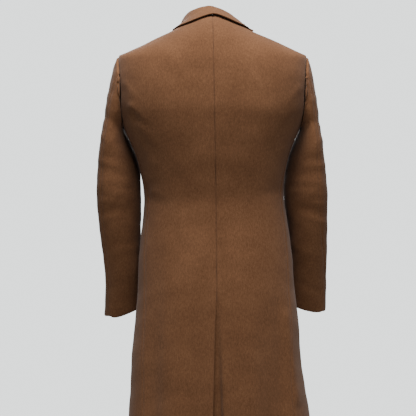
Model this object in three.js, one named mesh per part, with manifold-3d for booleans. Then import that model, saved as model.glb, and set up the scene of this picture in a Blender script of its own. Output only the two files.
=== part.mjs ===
import * as THREE from "three";
import Module from "manifold-3d";

// A long single-breasted wool overcoat, filled out upright and hollow.
// Millimetres, +Z up. The coat's front faces -Y and the wearer's left is +X.
// The origin is the middle of the neck opening at the height of the shoulder seams' neck ends.

const WALL = 2.5;
const SEAM_GAP = 0.3;
const HEM_HEIGHT = -1068;
const BACK_NECK_HEIGHT = 22;
const SHOULDER_END = -73.5;
const VENT_TOP = -663;
const VENT_LEDGE = 10;
const FRONT_LAP = 22;
const LAP_CLEARANCE = 3.9;
const LAP_DIP_START = 72;
const LAP_DIP_WIDTH = 32;
const UNDERLAP = 44;
const BREAK_HEIGHT = -222;
const ROLL_TOP = { x: 64, z: -15 };

const RIGHT_ANGLE = Math.PI / 2;
const degrees = THREE.MathUtils.degToRad;
const clamp = THREE.MathUtils.clamp;
const blend = THREE.MathUtils.lerp;
const LEFT = 1;
const RIGHT = -1;

// Level sections of the body: half widths, depth of the back and front, and squareness of the oval.
const BODY_RINGS = [
  { z: 26, left: 43, right: 43, back: 66, front: 36, square: 2 },
  { z: 18, left: 52, right: 52, back: 81, front: 44, square: 2 },
  { z: 8, left: 66, right: 65, back: 95, front: 50, square: 2 },
  { z: 0, left: 77, right: 74, back: 103, front: 56, square: 2 },
  { z: -11, left: 93, right: 88, back: 111, front: 63, square: 2 },
  { z: -32, left: 140, right: 139, back: 123, front: 75, square: 2 },
  { z: -51.5, left: 176, right: 180, back: 130, front: 81, square: 2.1 },
  { z: -66, left: 213, right: 214.5, back: 135, front: 86, square: 2.1 },
  { z: -73.5, left: 229, right: 229, back: 137, front: 88, square: 2.15 },
  { z: -90, left: 234, right: 234, back: 141, front: 93, square: 2.3 },
  { z: -130, left: 236, right: 236, back: 148, front: 105, square: 2.45 },
  { z: -180, left: 234, right: 233, back: 152, front: 117, square: 2.5 },
  { z: -215, left: 228, right: 226, back: 152, front: 123, square: 2.5 },
  { z: -248, left: 218, right: 214, back: 149, front: 126, square: 2.45 },
  { z: -285, left: 200, right: 197, back: 144, front: 126, square: 2.4 },
  { z: -334, left: 181.5, right: 182, back: 137, front: 124, square: 2.35 },
  { z: -365, left: 175, right: 177, back: 131, front: 122, square: 2.3 },
  { z: -399, left: 169, right: 174, back: 125, front: 120, square: 2.25 },
  { z: -424, left: 168, right: 175, back: 122, front: 120, square: 2.2 },
  { z: -451, left: 168.6, right: 179, back: 122, front: 121, square: 2.2 },
  { z: -488, left: 173, right: 185, back: 125, front: 123, square: 2.2 },
  { z: -537, left: 179, right: 193, back: 130, front: 127, square: 2.2 },
  { z: -595, left: 182, right: 197.5, back: 137, front: 131, square: 2.2 },
  { z: -640, left: 183.5, right: 201, back: 142, front: 134, square: 2.2 },
  { z: -690, left: 187, right: 207, back: 145, front: 137, square: 2.2 },
  { z: -742, left: 192, right: 213, back: 147, front: 139, square: 2.2 },
  { z: -777, left: 196.5, right: 213, back: 148, front: 141, square: 2.2 },
  { z: -816, left: 199, right: 217, back: 149, front: 143, square: 2.2 },
  { z: -875, left: 200.5, right: 226, back: 150, front: 145, square: 2.2 },
  { z: -953, left: 205, right: 239, back: 151, front: 148, square: 2.2 },
  { z: -1068, left: 209, right: 251, back: 152, front: 152, square: 2.2 },
];

// Sideways place of the centre-back seam, then of the vent's upper edge, and of the dip beside it.
const CENTRE_BACK = [
  { z: 22, x: 1, dip: 0 },
  { z: -80, x: -1, dip: 0 },
  { z: -280, x: -4.5, dip: 0 },
  { z: -430, x: -7, dip: 0 },
  { z: -653, x: -8.4, dip: 0 },
  { z: -663, x: -8, dip: 4 },
  { z: -724, x: -5.6, dip: 8 },
  { z: -848, x: -2.4, dip: 14 },
  { z: -924, x: -0.3, dip: 18 },
  { z: -1068, x: 4.5, dip: 24 },
];

// Width over which the lower back panel sinks below the upper one.
const VENT_SLOPE = [
  { z: -600, width: 10 },
  { z: -663, width: 8 },
  { z: -840, width: 18 },
  { z: -1068, width: 36 },
];

// Side-back seams: height and angle round the body from the centre back.
const SIDE_BACK_SEAM = [
  { z: -226, angle: 66 },
  { z: -330, angle: 68 },
  { z: -424, angle: 66 },
  { z: -640, angle: 60 },
  { z: -760, angle: 56 },
  { z: -900, angle: 52 },
  { z: -1068, angle: 50 },
];

// Soft folds: a line from one point to another on the back or front, its half width, and its
// height at either end. A trough has a negative height.
const FOLDS = [
  { face: "back", x1: 196, z1: -196, x2: 150, z2: -232, width: 11, start: 4, end: 0 },
  { face: "back", x1: 186, z1: -226, x2: 138, z2: -262, width: 10, start: -4, end: 0 },
  { face: "back", x1: 178, z1: -262, x2: 128, z2: -300, width: 12, start: 4, end: 0 },
  { face: "back", x1: 168, z1: -300, x2: 116, z2: -334, width: 11, start: -4, end: 0 },
  { face: "back", x1: 160, z1: -400, x2: 108, z2: -412, width: 14, start: -4, end: 0 },
  { face: "back", x1: -196, z1: -206, x2: -150, z2: -246, width: 11, start: 3, end: 0 },
  { face: "back", x1: -178, z1: -262, x2: -132, z2: -296, width: 12, start: -4, end: 0 },
  { face: "back", x1: -160, z1: -402, x2: -96, z2: -420, width: 14, start: -4, end: 0 },
  { face: "back", x1: -158, z1: -448, x2: -90, z2: -452, width: 14, start: 3, end: 0 },
  { face: "back", x1: 74, z1: -560, x2: 92, z2: -1068, width: 30, start: 0, end: 9 },
  { face: "back", x1: 122, z1: -600, x2: 146, z2: -1068, width: 24, start: 0, end: -9 },
  { face: "back", x1: 160, z1: -640, x2: 190, z2: -1068, width: 20, start: 0, end: 6 },
  { face: "back", x1: 34, z1: -700, x2: 42, z2: -1068, width: 22, start: 0, end: -5 },
  { face: "back", x1: -72, z1: -600, x2: -96, z2: -1068, width: 30, start: 0, end: 9 },
  { face: "back", x1: -122, z1: -600, x2: -150, z2: -1068, width: 24, start: 0, end: -10 },
  { face: "back", x1: -182, z1: -690, x2: -206, z2: -1068, width: 16, start: 3, end: 8 },
  { face: "front", x1: 150, z1: -560, x2: 176, z2: -1068, width: 26, start: 0, end: -10 },
  { face: "front", x1: 104, z1: -620, x2: 120, z2: -1068, width: 28, start: 0, end: 9 },
  { face: "front", x1: 66, z1: -700, x2: 74, z2: -1068, width: 22, start: 0, end: -6 },
  { face: "front", x1: -150, z1: -560, x2: -190, z2: -1068, width: 26, start: 0, end: -10 },
  { face: "front", x1: -104, z1: -620, x2: -130, z2: -1068, width: 28, start: 0, end: 10 },
  { face: "front", x1: -70, z1: -700, x2: -80, z2: -1068, width: 22, start: 0, end: -6 },
  { face: "front", x1: 176, z1: -232, x2: 120, z2: -262, width: 12, start: 4, end: 0 },
  { face: "front", x1: -176, z1: -230, x2: -122, z2: -264, width: 12, start: 4, end: 0 },
  { face: "front", x1: 150, z1: -392, x2: 84, z2: -412, width: 14, start: -4, end: 0 },
  { face: "front", x1: -152, z1: -396, x2: -86, z2: -414, width: 14, start: -4, end: 0 },
];

// The armhole seen from the side is an upright oval.
const ARMHOLE = { y: 6, z: -161, halfDepth: 64, halfHeight: 87 };
const ARMHOLE_LOW_BACK = degrees(-48);
const ARMHOLE_LOW_FRONT = degrees(-136);
const ARMHOLE_TOP_SHARE = 0.97;
const DRIFT_START = -430;
const DRIFT_SPAN = 200;

// Level sections of the sleeves below the head: nearest and farthest distance from the middle,
// place and half depth along Y, how far the inner side lies forward of the outer one, and how far
// the section tips down towards the back and slants down towards the outer side.
const SLEEVES = {
  left: [
    { z: -285, near: 202, far: 275, y: 2, halfDepth: 76, forward: 42, tip: 0, slant: 0 },
    { z: -334, near: 181.5, far: 281, y: 3, halfDepth: 68, forward: 44, tip: 1, slant: 0.4 },
    { z: -400, near: 176, far: 284, y: 3, halfDepth: 58, forward: 34, tip: 2, slant: 0.8 },
    { z: -450, near: 176, far: 283, y: -10, halfDepth: 54, forward: 24, tip: 3, slant: 1 },
    { z: -500, near: 178, far: 279, y: -26, halfDepth: 51, forward: 14, tip: 4, slant: 2 },
    { z: -550, near: 178, far: 275, y: -44, halfDepth: 50, forward: 6, tip: 5, slant: 4 },
    { z: -600, near: 176, far: 270, y: -62.5, halfDepth: 50.5, forward: 0, tip: 6, slant: 7 },
    { z: -655, near: 175, far: 271, y: -81, halfDepth: 48, forward: 0, tip: 5, slant: 14 },
    { z: -709, near: 174, far: 275, y: -97, halfDepth: 46, forward: 0, tip: 5, slant: 19.5 },
  ],
  right: [
    { z: -285, near: 199.5, far: 269, y: 2, halfDepth: 76, forward: 42, tip: 0, slant: 0 },
    { z: -334, near: 182, far: 275, y: 3, halfDepth: 68, forward: 44, tip: 1, slant: 0.4 },
    { z: -400, near: 175.5, far: 282, y: 3, halfDepth: 58, forward: 36, tip: 2, slant: 0.8 },
    { z: -450, near: 180, far: 283, y: -10, halfDepth: 54, forward: 26, tip: 3, slant: 1 },
    { z: -500, near: 187, far: 284.5, y: -26, halfDepth: 51, forward: 16, tip: 4, slant: 2 },
    { z: -550, near: 191, far: 286.5, y: -44, halfDepth: 50, forward: 8, tip: 4, slant: 3 },
    { z: -600, near: 193, far: 286, y: -64, halfDepth: 49, forward: 0, tip: 3.5, slant: 6 },
    { z: -650, near: 193, far: 288, y: -80, halfDepth: 47.5, forward: 0, tip: 3, slant: 9 },
    { z: -699, near: 192, far: 288, y: -96, halfDepth: 46, forward: 0, tip: 3, slant: 12.5 },
  ],
};
// The slant is eased over the outer side, from one turn round the sleeve to another.
const SLANT_EASE = {
  share: 0.65, start: degrees(10), rise: degrees(45), end: degrees(120), fall: degrees(110),
};

// Sleeve seams as angles round the sleeve: 90 is outermost, 0 the back, -90 innermost.
const HINDARM_SEAM = [
  { z: -120, left: 26, right: 26 },
  { z: -228, left: 40, right: 36 },
  { z: -320, left: 45, right: 33 },
  { z: -410, left: 46, right: 32 },
  { z: -500, left: 48, right: 37 },
  { z: -560, left: 51, right: 49 },
  { z: -605, left: 54, right: 59 },
  { z: -650, left: 49, right: 57 },
  { z: -712, left: 38, right: 47 },
];
const FOREARM_SEAM = -128;
const CUFF_SLIT = 100;

// Creases across the sleeves: a height, an angle round the sleeve, half sizes and a height off it.
const SLEEVE_CREASES = [
  { z: -205, angle: 20, reach: 70, width: 12, slant: 0.18, height: 3 },
  { z: -246, angle: 0, reach: 60, width: 12, slant: 0.2, height: -4 },
  { z: -300, angle: 10, reach: 55, width: 13, slant: -0.1, height: 3.5 },
  { z: -352, angle: -10, reach: 60, width: 13, slant: 0.16, height: -4 },
  { z: -402, angle: 20, reach: 50, width: 12, slant: -0.12, height: 3 },
  { z: -446, angle: 0, reach: 55, width: 12, slant: 0.14, height: -3.5 },
  { z: -500, angle: 15, reach: 50, width: 13, slant: 0.1, height: 2.5 },
  { z: -428, angle: -170, reach: 55, width: 13, slant: 0.12, height: -4 },
  { z: -470, angle: -165, reach: 50, width: 13, slant: -0.1, height: 3 },
];

// Collar sections from the centre back to the front end: neck seam and outer edge as angles round
// the body; the fold stands inward of and above the seam.
const COLLAR = [
  { at: 0, seamAngle: 0, foldIn: 14, foldUp: 15.5, edgeAngle: 0, edgeZ: 11, lift: 4, soft: 1 },
  { at: 0.18, seamAngle: 24, foldIn: 15, foldUp: 17, edgeAngle: 20, edgeZ: 5, lift: 4, soft: 0.5 },
  { at: 0.36, seamAngle: 50, foldIn: 15, foldUp: 20, edgeAngle: 46, edgeZ: -9, lift: 4.5, soft: -1.5 },
  { at: 0.54, seamAngle: 78, foldIn: 15, foldUp: 25, edgeAngle: 76, edgeZ: -15, lift: 3.2, soft: -6 },
  { at: 0.66, seamAngle: 100, foldIn: 13, foldUp: 22, edgeAngle: 107, edgeZ: -17, lift: 3.2, soft: -6 },
  { at: 0.8, seamAngle: 122, foldIn: 8, foldUp: 17, edgeAngle: 127, edgeZ: -24, lift: 4, soft: -1.5 },
  { at: 0.9, seamAngle: 143, foldIn: 4, foldUp: 8, edgeAngle: 139, edgeZ: -42, lift: 3, soft: 0 },
  { at: 1, seamAngle: 158, foldIn: 1, foldUp: 4, edgeAngle: 145.6, edgeZ: -60, lift: 2.4, soft: 0 },
];
// How far the middle of the fall is drawn to the notch near the front end.
const COLLAR_NOTCH = [
  { at: 0.8, notch: 0 },
  { at: 0.9, notch: 0.2 },
  { at: 1, notch: 1 },
];
const COLLAR_TOP_SHIFT = 7;
const COLLAR_EDGE_SHIFT = -3;
const COLLAR_RIGHT_DROOP = 7;
const COLLAR_EDGE_DROOP = 0.3;
const GORGE = { startX: 56, startZ: -35, notchX: 95, notchZ: -78 };

// Lapels: the inner edge follows the roll, the outer edge runs from the break up to the point.
const LAPELS = {
  left: [
    { at: 0, innerX: -21.4, innerZ: -219, outerX: -16, outerZ: -223 },
    { at: 0.2, innerX: -6, innerZ: -184, outerX: 14, outerZ: -203 },
    { at: 0.45, innerX: 12, innerZ: -140, outerX: 56, outerZ: -172 },
    { at: 0.75, innerX: 36, innerZ: -84, outerX: 102, outerZ: -124 },
    { at: 1, innerX: 56, innerZ: -36, outerX: 128, outerZ: -92 },
  ],
  right: [
    { at: 0, innerX: -18, innerZ: -201, outerX: -23, outerZ: -205 },
    { at: 0.2, innerX: -8, innerZ: -176, outerX: -36, outerZ: -192 },
    { at: 0.45, innerX: -15, innerZ: -134, outerX: -66, outerZ: -163 },
    { at: 0.75, innerX: -36.5, innerZ: -83, outerX: -104, outerZ: -121 },
    { at: 1, innerX: -56, innerZ: -36, outerX: -128, outerZ: -92 },
  ],
};

const BUTTONS = [
  { name: "front_button_1", z: -232 },
  { name: "front_button_2", z: -347 },
  { name: "front_button_3", z: -462 },
];
const BUTTON = { radius: 11.5, thickness: 4, rim: 1.6, dish: 0.9, holeRadius: 1.2, holeSpacing: 2.6 };

const WOOL = { color: 0x8a6546, roughness: 0.95, metalness: 0 };
const HORN = { color: 0x3b2417, roughness: 0.45, metalness: 0 };

// A smooth curve through one column of a table.
function smoothThrough(rows, along, column) {
  const knots = rows.map((row) => ({ at: row[along], value: row[column] }));
  knots.sort((first, second) => first.at - second.at);
  const last = knots.length - 1;
  const slopes = knots.map((knot, index) => {
    const before = knots[Math.max(index - 1, 0)];
    const after = knots[Math.min(index + 1, last)];
    return (after.value - before.value) / (after.at - before.at);
  });
  return (place) => {
    const at = clamp(place, knots[0].at, knots[last].at);
    let index = 0;
    while (index < last - 1 && at > knots[index + 1].at) {
      index += 1;
    }
    const span = knots[index + 1].at - knots[index].at;
    const part = (at - knots[index].at) / span;
    const rise = part * part * (3 - 2 * part);
    const leave = part * (1 - part) * (1 - part) * span * slopes[index];
    const arrive = part * part * (1 - part) * span * slopes[index + 1];
    return blend(knots[index].value, knots[index + 1].value, rise) + leave - arrive;
  };
}

const body = {
  left: smoothThrough(BODY_RINGS, "z", "left"),
  right: smoothThrough(BODY_RINGS, "z", "right"),
  back: smoothThrough(BODY_RINGS, "z", "back"),
  front: smoothThrough(BODY_RINGS, "z", "front"),
  square: smoothThrough(BODY_RINGS, "z", "square"),
};
const centreBackX = smoothThrough(CENTRE_BACK, "z", "x");
const ventDip = smoothThrough(CENTRE_BACK, "z", "dip");
const ventSlope = smoothThrough(VENT_SLOPE, "z", "width");
const sideBackAngle = smoothThrough(SIDE_BACK_SEAM, "z", "angle");
const hindarmAngle = {
  left: smoothThrough(HINDARM_SEAM, "z", "left"),
  right: smoothThrough(HINDARM_SEAM, "z", "right"),
};

const halfWidth = (side, z) => (side > 0 ? body.left(z) : body.right(z));
const smoothStep = (value) => THREE.MathUtils.smoothstep(value, 0, 1);

// Point of the plain body at an angle from the centre back and a height.
function bodyPoint(side, angle, z) {
  const sine = Math.sin(angle);
  const cosine = Math.cos(angle);
  const square = body.square(z);
  const reach = (Math.abs(sine) ** square + Math.abs(cosine) ** square) ** (-1 / square);
  const depth = cosine > 0 ? body.back(z) : body.front(z);
  const lean = centreBackX(z) * Math.max(cosine, 0) ** 2;
  return new THREE.Vector3(side * halfWidth(side, z) * reach * sine + lean, depth * reach * cosine, z);
}

function normalOf(surface, first, second, firstStep, secondStep) {
  const along = surface(first + firstStep, second).sub(surface(first - firstStep, second));
  const across = surface(first, second + secondStep).sub(surface(first, second - secondStep));
  return along.cross(across).normalize();
}

function bodyNormal(side, angle, z) {
  const surface = (atAngle, atZ) => bodyPoint(side, atAngle, atZ);
  return normalOf(surface, angle, z, 0.01, 1).multiplyScalar(-side);
}

// How far the soft folds raise or sink the cloth at a point.
function foldHeight(point) {
  let total = 0;
  for (const fold of FOLDS) {
    const towardsBack = fold.face === "back" ? 1 : -1;
    const facing = clamp(0.5 + (towardsBack * point.y) / 60, 0, 1);
    const runX = fold.x2 - fold.x1;
    const runZ = fold.z2 - fold.z1;
    const run = runX * runX + runZ * runZ;
    const part = ((point.x - fold.x1) * runX + (point.z - fold.z1) * runZ) / run;
    const held = clamp(part, 0, 1);
    const away = Math.hypot(point.x - fold.x1 - held * runX, point.z - fold.z1 - held * runZ);
    total += facing * blend(fold.start, fold.end, held) * Math.exp(-((away / fold.width) ** 2));
  }
  return total;
}

function foldedBody(side, angle, z) {
  const point = bodyPoint(side, angle, z);
  return point.addScaledVector(bodyNormal(side, angle, z), foldHeight(point));
}

// Both skins of the cloth at a place on the body; lift is the inner skin's height over it.
function clothOnBody(side, { angle, z, lift = -WALL }) {
  const surface = (atAngle, atZ) => foldedBody(side, atAngle, atZ);
  const normal = normalOf(surface, angle, z, 0.01, 1).multiplyScalar(-side);
  const base = surface(angle, z);
  return {
    outer: base.clone().addScaledVector(normal, lift + WALL),
    inner: base.clone().addScaledVector(normal, lift),
  };
}

// Angle on the front of the body whose point has a given distance from the middle.
function frontAngle(side, x, z) {
  const square = body.square(z);
  const share = Math.min(Math.abs(x) / halfWidth(side, z), 0.99) ** square;
  const turn = Math.atan((share / (1 - share)) ** (1 / square));
  return Math.PI - Math.sign(x * side) * turn;
}

const onFront = (side, x, z, lift) => ({ angle: frontAngle(side, x, z), z, lift });

// Angle on the body at which it meets a given depth along Y.
function angleAtDepth(y, z) {
  const depth = y > 0 ? body.back(z) : body.front(z);
  const share = Math.abs(y / depth) ** -body.square(z) - 1;
  const turn = Math.atan(share ** (1 / body.square(z)));
  return y > 0 ? turn : Math.PI - turn;
}

function armholePlace(round) {
  const y = ARMHOLE.y + ARMHOLE.halfDepth * Math.cos(round);
  const z = ARMHOLE.z + ARMHOLE.halfHeight * Math.sin(round);
  return { angle: angleAtDepth(y, z), z };
}

// Small turn round the body that gives half a seam gap.
function halfGap(side, angle, z) {
  const step = 0.01;
  const run = bodyPoint(side, angle + step, z).distanceTo(bodyPoint(side, angle, z));
  return (step * SEAM_GAP * 0.5) / run;
}

// A closed wall of cloth from quads over shared corners; each corner has an outer and inner point.
function clothWall(name, corners, quads, material) {
  const positions = [];
  const triangle = (first, second, third) => {
    for (const point of [first, second, third]) {
      positions.push(point.x, point.y, point.z);
    }
  };
  const edges = new Map();
  for (const [a, b, c, d] of quads) {
    const outer = [a, b, c, d].map((index) => corners[index].outer);
    const inner = [a, b, c, d].map((index) => corners[index].inner);
    const firstWay = outer[0].distanceTo(outer[2]) <= outer[1].distanceTo(outer[3]);
    const halves = firstWay ? [[0, 1, 2], [0, 2, 3]] : [[0, 1, 3], [1, 2, 3]];
    for (const [i, j, k] of halves) {
      triangle(outer[i], outer[j], outer[k]);
      triangle(inner[i], inner[k], inner[j]);
    }
    for (const [from, to] of [[a, b], [b, c], [c, d], [d, a]]) {
      if (!edges.delete(`${to} ${from}`)) {
        edges.set(`${from} ${to}`, [from, to]);
      }
    }
  }
  for (const [from, to] of edges.values()) {
    triangle(corners[from].outer, corners[from].inner, corners[to].inner);
    triangle(corners[from].outer, corners[to].inner, corners[to].outer);
  }
  const geometry = new THREE.BufferGeometry();
  geometry.setAttribute("position", new THREE.Float32BufferAttribute(positions, 3));
  geometry.computeVertexNormals();
  const mesh = new THREE.Mesh(geometry, new THREE.MeshStandardMaterial(material));
  mesh.name = name;
  return mesh;
}

// Quads of one grid of corner numbers, facing outward when rows go up and columns to the left side.
function gridQuads(rows, mirrored) {
  const quads = [];
  for (let row = 0; row < rows.length - 1; row += 1) {
    for (let column = 0; column < rows[row].length - 1; column += 1) {
      const low = [rows[row][column], rows[row][column + 1]];
      const high = [rows[row + 1][column], rows[row + 1][column + 1]];
      const quad = [low[0], high[0], high[1], low[1]];
      quads.push(mirrored ? quad.reverse() : quad);
    }
  }
  return quads;
}

// A panel of the body from one or more grids of places that share their common corners.
function bodyPanel(name, side, grids) {
  const corners = [];
  const known = new Map();
  const number = (place) => {
    const key = `${place.angle.toFixed(7)} ${place.z.toFixed(4)}`;
    if (!known.has(key)) {
      known.set(key, corners.length);
      corners.push(clothOnBody(side, place));
    }
    return known.get(key);
  };
  const quads = grids.flatMap((grid) => gridQuads(grid.map((row) => row.map(number)), side < 0));
  return clothWall(name, corners, quads, WOOL);
}

const steps = (count) => Array.from({ length: count + 1 }, (_, index) => index / count);

function placeBetween(first, second, part) {
  return { angle: blend(first.angle, second.angle, part), z: blend(first.z, second.z, part) };
}

// Back panels: rows run level from the centre back to the side-back seam, armhole and shoulder seam.
const BACK_ROWS = { skirt: 24, armhole: 8, shoulder: 6 };
const BACK_COLUMNS = 13;
const COLUMN_SPREAD = 1.25;
const ROW_DROOP = 2;
const UNDERLAP_COLUMNS = 3;

// Angle of the side-back seam, which runs up into the foot of the armhole.
function sideSeamAngle(z) {
  const foot = armholePlace(ARMHOLE_LOW_BACK);
  const drift = foot.angle - degrees(sideBackAngle(foot.z));
  return degrees(sideBackAngle(z)) + drift * smoothStep((z - DRIFT_START) / DRIFT_SPAN);
}

function backOuterEdge(side) {
  const low = armholePlace(ARMHOLE_LOW_BACK);
  const seam = steps(BACK_ROWS.skirt).map((part) => {
    const z = blend(HEM_HEIGHT, low.z, part);
    const angle = sideSeamAngle(z);
    return { angle: angle - halfGap(side, angle, z), z };
  });
  const armhole = steps(BACK_ROWS.armhole).slice(1).map((part) =>
    armholePlace(blend(ARMHOLE_LOW_BACK, RIGHT_ANGLE * ARMHOLE_TOP_SHARE, part)));
  const shoulder = steps(BACK_ROWS.shoulder).slice(1).map((part) => {
    const z = blend(SHOULDER_END, 0, part);
    return { angle: RIGHT_ANGLE - halfGap(side, RIGHT_ANGLE, z), z };
  });
  return [...seam, ...armhole, ...shoulder];
}

function backPanel(name, side) {
  const outerEdge = backOuterEdge(side);
  const skirtTop = outerEdge[BACK_ROWS.skirt].z;
  const ventRow = Math.round(((VENT_TOP - HEM_HEIGHT) / (skirtTop - HEM_HEIGHT)) * BACK_ROWS.skirt);
  const rows = outerEdge.map((outer, index) => {
    const upper = (index - BACK_ROWS.skirt) / (BACK_ROWS.armhole + BACK_ROWS.shoulder);
    const aboveVent = (index - ventRow - 1) / (BACK_ROWS.skirt - ventRow - 1);
    const lower = index <= ventRow ? blend(HEM_HEIGHT, VENT_TOP, index / ventRow)
      : blend(VENT_TOP + VENT_LEDGE, skirtTop, aboveVent);
    const middleZ = index <= BACK_ROWS.skirt ? lower : blend(skirtTop, BACK_NECK_HEIGHT, upper);
    return steps(BACK_COLUMNS).map((part) => {
      const z = blend(middleZ, outer.z, part ** ROW_DROOP);
      const spread = part ** COLUMN_SPREAD;
      const angle = blend(halfGap(side, 0, z), outer.angle, spread);
      return { angle, z, lift: -WALL - (side < 0 ? dipBesideVent(angle, z) : 0) };
    });
  });
  if (side > 0) {
    return bodyPanel(name, side, [rows]);
  }
  const underlap = rows.slice(0, ventRow + 1).map((row) => {
    const first = row[0];
    const reach = UNDERLAP / halfWidth(side, first.z);
    return steps(UNDERLAP_COLUMNS).map((part) => {
      const angle = blend(-reach, first.angle, part);
      return part === 1 ? first : { angle, z: first.z, lift: -WALL - dipBesideVent(angle, first.z) };
    });
  });
  return bodyPanel(name, side, [rows, underlap]);
}

// Depth by which the right panel lies below the left one near the vent.
function dipBesideVent(angle, z) {
  const away = angle * halfWidth(RIGHT, z);
  return Math.max(ventDip(z), 0) * (1 - smoothStep(away / ventSlope(z)));
}

// Front panels: a lower block up to the armhole's foot and the break, and an upper block to the shoulder.
const FRONT_ROWS = { skirt: 24, armhole: 8, shoulder: 6 };
const FRONT_COLUMNS = { underArm: 4, chest: 11 };

// Each front laps past the centre front; the lower one sinks beneath the upper one there.
function lapDip(side, angle, z) {
  if (side > 0) {
    return 0;
  }
  const past = (angle - Math.PI) * halfWidth(side, z) + LAP_DIP_START;
  return LAP_CLEARANCE * smoothStep(past / LAP_DIP_WIDTH);
}

function rollPlace(side, part) {
  const z = blend(BREAK_HEIGHT, ROLL_TOP.z, part);
  const x = blend(-FRONT_LAP, ROLL_TOP.x, part);
  return { angle: frontAngle(side, x * side, z), z };
}

function frontPanel(name, side) {
  const low = armholePlace(ARMHOLE_LOW_BACK);
  const foot = steps(FRONT_COLUMNS.underArm).map((part) =>
    armholePlace(blend(ARMHOLE_LOW_BACK, ARMHOLE_LOW_FRONT, part)));
  const edgeAngle = (z) => frontAngle(side, -FRONT_LAP * side, z);
  const breakPlace = { angle: edgeAngle(BREAK_HEIGHT), z: BREAK_HEIGHT };
  const level = steps(FRONT_COLUMNS.chest).map((part) =>
    placeBetween(foot[foot.length - 1], breakPlace, part));
  const topRow = [...foot, ...level.slice(1)];
  const columns = topRow.length - 1;
  const seamAngle = (z) => sideSeamAngle(z) + halfGap(side, sideSeamAngle(z), z);
  const withDip = (place) => ({ ...place, lift: -WALL - lapDip(side, place.angle, place.z) });
  const skirt = steps(FRONT_ROWS.skirt).map((part) => topRow.map((top, column) => {
    const across = column / columns;
    const z = blend(HEM_HEIGHT, top.z, part);
    const plain = blend(seamAngle(z), edgeAngle(z), across);
    const topPlain = blend(seamAngle(top.z), edgeAngle(top.z), across);
    return withDip({ angle: plain + (top.angle - topPlain) * part ** 3, z });
  }));
  skirt[skirt.length - 1][0].angle = seamAngle(low.z);
  const armhole = steps(FRONT_ROWS.armhole).slice(1).map((part) =>
    armholePlace(blend(ARMHOLE_LOW_FRONT, -Math.PI - RIGHT_ANGLE * ARMHOLE_TOP_SHARE, part)));
  const shoulder = steps(FRONT_ROWS.shoulder).slice(1).map((part) => {
    const z = blend(SHOULDER_END, 0, part);
    return { angle: RIGHT_ANGLE + halfGap(side, RIGHT_ANGLE, z), z };
  });
  const outer = [...armhole, ...shoulder];
  const chest = [skirt[skirt.length - 1].slice(FRONT_COLUMNS.underArm)];
  outer.forEach((place, index) => {
    const roll = rollPlace(side, (index + 1) / outer.length);
    chest.push(steps(FRONT_COLUMNS.chest).map((part) => withDip(placeBetween(place, roll, part))));
  });
  return bodyPanel(name, side, [skirt, chest]);
}

// Lapels lie on the front panels, a little off them, and rise softly in the middle.
const LAPEL_ROWS = 12;
const LAPEL_COLUMNS = 6;
const LAPEL_SOFT = { height: 3.4, growth: 2.5, lean: 0.6, edge: 0.8, notchBend: 4 };

function lapel(name, side, rows) {
  const read = (column) => smoothThrough(rows, "at", column);
  const innerX = read("innerX");
  const innerZ = read("innerZ");
  const outerX = read("outerX");
  const outerZ = read("outerZ");
  const notch = (GORGE.notchX - GORGE.startX) / (rows[rows.length - 1].outerX * side - GORGE.startX);
  const straightZ = blend(GORGE.startZ, rows[rows.length - 1].outerZ, notch);
  const grid = steps(LAPEL_ROWS).map((at) => steps(LAPEL_COLUMNS).map((across) => {
    const bend = across < notch ? across / notch : (1 - across) / (1 - notch);
    const x = blend(innerX(at), outerX(at), across);
    const notchDrop = bend * (GORGE.notchZ - straightZ) * at ** LAPEL_SOFT.notchBend;
    const z = blend(innerZ(at), outerZ(at), across) + notchDrop;
    const swell = LAPEL_SOFT.height * Math.min(1, at * LAPEL_SOFT.growth);
    const soft = Math.sin(Math.PI * across ** LAPEL_SOFT.lean) * swell;
    return onFront(side, x, z, SEAM_GAP + soft + across * LAPEL_SOFT.edge);
  }).reverse());
  return bodyPanel(name, side, [grid]);
}

// How the sleeve head leaves the armhole and arrives at the first level section.
const SLEEVE_HEAD = {
  out: 8, outAbove: 4, back: 9, sink: 2, sinkBelow: 0.06, arriveOut: 4, arriveAbove: 10, arriveFall: 0.45,
};

// Sleeve surface: the head grows out of the armhole and bends down into level sections.
function sleeveTables(rows) {
  const columns = {};
  for (const column of ["near", "far", "y", "halfDepth", "forward", "tip", "slant"]) {
    columns[column] = smoothThrough(rows, "z", column);
  }
  return columns;
}

function sleeveDrop(table, round, z) {
  const { share, start, rise, end, fall } = SLANT_EASE;
  const eased = smoothStep((round - start) / rise) - smoothStep((round - end) / fall);
  return table.tip(z) * Math.cos(round) + table.slant(z) * (Math.sin(round) - share * eased);
}

function sleeveSection(side, table, round, z) {
  const middle = (table.near(z) + table.far(z)) / 2;
  const half = (table.far(z) - table.near(z)) / 2;
  const x = middle + half * Math.sin(round);
  const inward = (1 - Math.sin(round)) / 2;
  const y = table.y(z) + table.halfDepth(z) * Math.cos(round) - table.forward(z) * inward;
  return new THREE.Vector3(side * x, y, z - sleeveDrop(table, round, z));
}

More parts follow.
